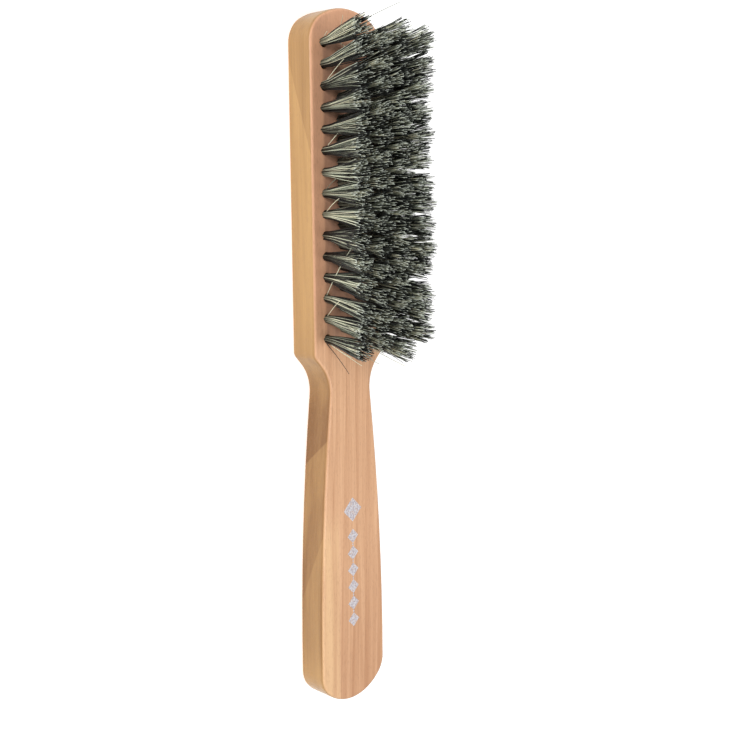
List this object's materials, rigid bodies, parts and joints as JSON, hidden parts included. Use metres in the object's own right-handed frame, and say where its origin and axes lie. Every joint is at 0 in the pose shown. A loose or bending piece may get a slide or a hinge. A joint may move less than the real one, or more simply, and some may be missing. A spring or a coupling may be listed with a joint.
{
  "type": "body dry brush",
  "caption": "Paddle-shaped wooden hand brush for dry brushing the body, with staggered rows of stiff flared bristle tufts on one face and a plain straight handle.",
  "frame": {"origin": "middle of the footprint on the flat back face, which the brush lies on", "axes": "+X from the handle to the head, +Z the way the bristles point, +Y across the brush"},
  "size_m": [0.243, 0.037, 0.0338],
  "materials": {
    "varnished_wood": "satin clear varnish over pale fruitwood",
    "bristle": "stiff natural bristle, mixed black and ash green",
    "anchor_steel": "plain flat wire",
    "silver_foil": "hot-stamped silver foil"
  },
  "bodies": {
    "root": {"wooden_body": "varnished_wood", "bristle_tufts_01": "bristle", "bristle_tufts_02": "bristle", "bristle_tufts_03": "bristle", "bristle_tufts_04": "bristle", "bristle_tufts_05": "bristle", "bristle_tufts_06": "bristle", "bristle_tufts_07": "bristle", "bristle_tufts_08": "bristle", "bristle_tufts_09": "bristle", "bristle_tufts_10": "bristle", "bristle_tufts_11": "bristle", "bristle_tufts_12": "bristle", "bristle_tufts_13": "bristle", "bristle_tufts_14": "bristle", "bristle_tufts_15": "bristle", "tuft_anchors_01": "anchor_steel", "tuft_anchors_02": "anchor_steel", "tuft_anchors_03": "anchor_steel", "tuft_anchors_04": "anchor_steel", "tuft_anchors_05": "anchor_steel", "tuft_anchors_06": "anchor_steel", "tuft_anchors_07": "anchor_steel", "tuft_anchors_08": "anchor_steel", "tuft_anchors_09": "anchor_steel", "tuft_anchors_10": "anchor_steel", "tuft_anchors_11": "anchor_steel", "tuft_anchors_12": "anchor_steel", "tuft_anchors_13": "anchor_steel", "tuft_anchors_14": "anchor_steel", "tuft_anchors_15": "anchor_steel", "foil_stamp": "silver_foil"}
  },
  "joints": []
}
